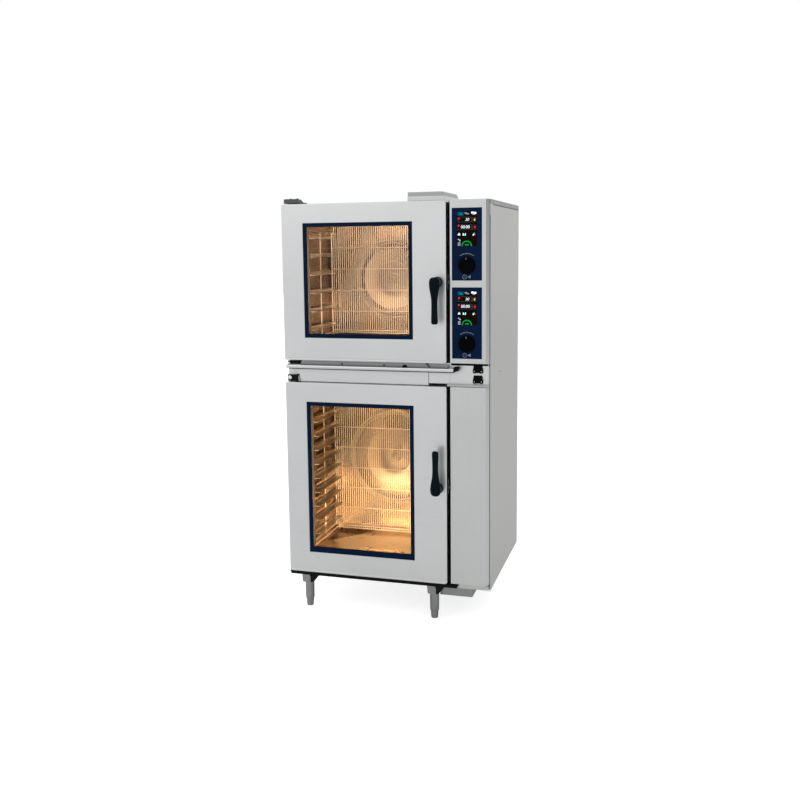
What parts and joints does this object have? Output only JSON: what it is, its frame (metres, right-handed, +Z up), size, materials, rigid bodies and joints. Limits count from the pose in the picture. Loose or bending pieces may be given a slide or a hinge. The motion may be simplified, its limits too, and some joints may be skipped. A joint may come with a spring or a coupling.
{
  "type": "combi steamer oven",
  "caption": "Tower of a small and a tall combi steamer oven with glass doors, lever handles, rotary controls and screw-adjusted legs.",
  "frame": {"origin": "on the floor, under the middle of the bounding box", "axes": "+Z up, -Y the side that the doors and controls are on, +X to the right of a person who faces the doors"},
  "size_m": [1, 0.906, 2.0373],
  "materials": {
    "front_steel": "fine brushed, light",
    "side_steel": "satin, slightly warmer grey",
    "cavity_steel": "smooth cold-rolled",
    "plain_steel": "plain mill finish",
    "bracket_grey": "cast, dull grey",
    "motor_aluminium": "die-cast",
    "handle_black": "satin black, slightly blue",
    "soft_black": "matt silicone",
    "window_glass": "clear, with a printed dark blue border",
    "control_glass": "printed dark blue on the back",
    "lamp_glass": "frosted, lit from inside",
    "board_green": "circuit board",
    "connection_brass": "dull brass"
  },
  "bodies": {
    "oven_tower": {"back_panel": "side_steel", "base_frame": "side_steel", "bottom_hinge_bracket": "bracket_grey", "control_column": "front_steel", "drain_box": "plain_steel", "drip_gutter": "plain_steel", "electronics_tray": "board_green", "exhaust_chimney": "side_steel", "front_left_leg": "bracket_grey", "front_right_leg": "bracket_grey", "left_side_panel": "side_steel", "lower_cavity": "cavity_steel", "lower_cavity_lamp": "lamp_glass", "lower_column_panel": "front_steel", "lower_control_glass": "control_glass", "lower_door_gasket": "soft_black", "lower_drip_strip": "soft_black", "lower_fan_guard": "cavity_steel", "lower_fan_motor": "motor_aluminium", "lower_left_rack": "cavity_steel", "lower_right_rack": "cavity_steel", "lower_ring_heater": "plain_steel", "middle_hinge_bracket": "bracket_grey", "rear_connections": "connection_brass", "rear_left_leg": "bracket_grey", "rear_right_leg": "bracket_grey", "right_side_panel": "side_steel", "socket_fascia": "front_steel", "stacking_frame": "front_steel", "top_cover": "side_steel", "top_hinge_bracket": "bracket_grey", "upper_cavity": "cavity_steel", "upper_cavity_lamp": "lamp_glass", "upper_control_glass": "control_glass", "upper_door_gasket": "soft_black", "upper_fan_guard": "cavity_steel", "upper_fan_motor": "motor_aluminium", "upper_left_rack": "cavity_steel", "upper_right_rack": "cavity_steel", "upper_ring_heater": "plain_steel"},
    "upper_door": {"upper_door_shell": "front_steel", "upper_outer_glass": "window_glass", "upper_inner_glass": "window_glass"},
    "upper_handle": {"upper_handle": "handle_black", "upper_latch": "plain_steel"},
    "upper_knob": {"upper_knob": "handle_black"},
    "upper_fan": {"upper_fan_wheel": "plain_steel"},
    "upper_flap": {"upper_socket_flap": "soft_black"},
    "lower_door": {"lower_door_shell": "front_steel", "lower_outer_glass": "window_glass", "lower_inner_glass": "window_glass"},
    "lower_handle": {"lower_handle": "handle_black", "lower_latch": "plain_steel"},
    "lower_knob": {"lower_knob": "handle_black"},
    "lower_fan": {"lower_fan_wheel": "plain_steel"},
    "lower_flap": {"lower_socket_flap": "soft_black"},
    "front_left_tip": {"front_left_leg_tip": "plain_steel"},
    "front_right_tip": {"front_right_leg_tip": "plain_steel"},
    "rear_left_tip": {"rear_left_leg_tip": "plain_steel"},
    "rear_right_tip": {"rear_right_leg_tip": "plain_steel"}
  },
  "joints": [
    {"name": "upper_door_swing", "type": "hinge", "parent": "oven_tower", "child": "upper_door", "pos_m": [-0.482, -0.343, 1.251], "axis": [0, 0, -1], "range_deg": [0, 180]},
    {"name": "upper_handle_turn", "type": "hinge", "parent": "upper_door", "child": "upper_handle", "pos_m": [0.26, -0.377, 1.625], "axis": [0, 1, 0], "range_deg": [0, 90]},
    {"name": "upper_knob_turn", "type": "hinge", "parent": "oven_tower", "child": "upper_knob", "pos_m": [0.396, -0.396, 1.7], "axis": [0, 1, 0], "continuous": true},
    {"name": "upper_fan_spin", "type": "hinge", "parent": "oven_tower", "child": "upper_fan", "pos_m": [-0.12, 0.176, 1.6225], "axis": [0, 1, 0], "continuous": true},
    {"name": "upper_flap_lift", "type": "hinge", "parent": "oven_tower", "child": "upper_flap", "pos_m": [0.44375, -0.362, 1.244], "axis": [-1, 0, 0], "range_deg": [0, 100]},
    {"name": "lower_door_swing", "type": "hinge", "parent": "oven_tower", "child": "lower_door", "pos_m": [-0.482, -0.343, 0.2], "axis": [0, 0, -1], "range_deg": [0, 180]},
    {"name": "lower_handle_turn", "type": "hinge", "parent": "lower_door", "child": "lower_handle", "pos_m": [0.26, -0.377, 0.665], "axis": [0, -1, 0], "range_deg": [0, 90]},
    {"name": "lower_knob_turn", "type": "hinge", "parent": "oven_tower", "child": "lower_knob", "pos_m": [0.396, -0.396, 1.345], "axis": [0, 1, 0], "continuous": true},
    {"name": "lower_fan_spin", "type": "hinge", "parent": "oven_tower", "child": "lower_fan", "pos_m": [-0.12, 0.176, 0.6675], "axis": [0, 1, 0], "continuous": true},
    {"name": "lower_flap_lift", "type": "hinge", "parent": "oven_tower", "child": "lower_flap", "pos_m": [0.44375, -0.362, 1.1965], "axis": [-1, 0, 0], "range_deg": [0, 100]},
    {"name": "front_left_tip_screw", "type": "slide", "parent": "oven_tower", "child": "front_left_tip", "axis": [0, 0, -1], "range_m": [0, 0.025]},
    {"name": "front_right_tip_screw", "type": "slide", "parent": "oven_tower", "child": "front_right_tip", "axis": [0, 0, -1], "range_m": [0, 0.025]},
    {"name": "rear_left_tip_screw", "type": "slide", "parent": "oven_tower", "child": "rear_left_tip", "axis": [0, 0, -1], "range_m": [0, 0.025]},
    {"name": "rear_right_tip_screw", "type": "slide", "parent": "oven_tower", "child": "rear_right_tip", "axis": [0, 0, -1], "range_m": [0, 0.025]}
  ]
}
